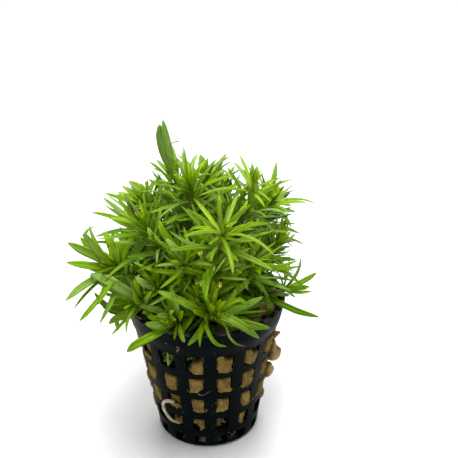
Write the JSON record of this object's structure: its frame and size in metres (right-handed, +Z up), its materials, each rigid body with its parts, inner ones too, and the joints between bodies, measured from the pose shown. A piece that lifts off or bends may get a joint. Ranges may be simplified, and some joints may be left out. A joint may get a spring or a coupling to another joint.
{
  "type": "potted aquatic plant",
  "caption": "Bushy aquarium stem plant with whorls of narrow leaves, growing from rock wool in a round black slotted net pot.",
  "frame": {"origin": "middle of the flat underside of the pot, where it stands", "axes": "+Z up along the pot's axis, -Y towards the front of the plant, +X to its right as seen from the front"},
  "size_m": [0.0806, 0.0896, 0.1096],
  "materials": {
    "pot": "satin",
    "wool": "matte",
    "root": "satin",
    "leaf": "satin"
  },
  "bodies": {
    "root": {"net_pot": "pot", "rock_wool": "wool", "white_root": "root", "shoot_back_far_left": "leaf", "shoot_back_left": "leaf", "shoot_back_low_left": "leaf", "shoot_back_low_middle": "leaf", "shoot_back_low_right": "leaf", "shoot_back_middle": "leaf", "shoot_back_right": "leaf", "shoot_bud": "leaf", "shoot_centre_right": "leaf", "shoot_front": "leaf", "shoot_front_left": "leaf", "shoot_hanging": "leaf", "shoot_inner_right": "leaf", "shoot_left": "leaf", "shoot_left_low": "leaf", "shoot_low_left": "leaf", "shoot_low_middle": "leaf", "shoot_middle": "leaf", "shoot_right": "leaf", "shoot_right_back": "leaf", "shoot_right_upper": "leaf", "shoot_spotted": "leaf", "shoot_star": "leaf", "shoot_tall": "leaf", "shoot_top_back": "leaf", "shoot_top_left": "leaf", "shoot_top_right": "leaf", "shoot_upper_left": "leaf"}
  },
  "joints": []
}
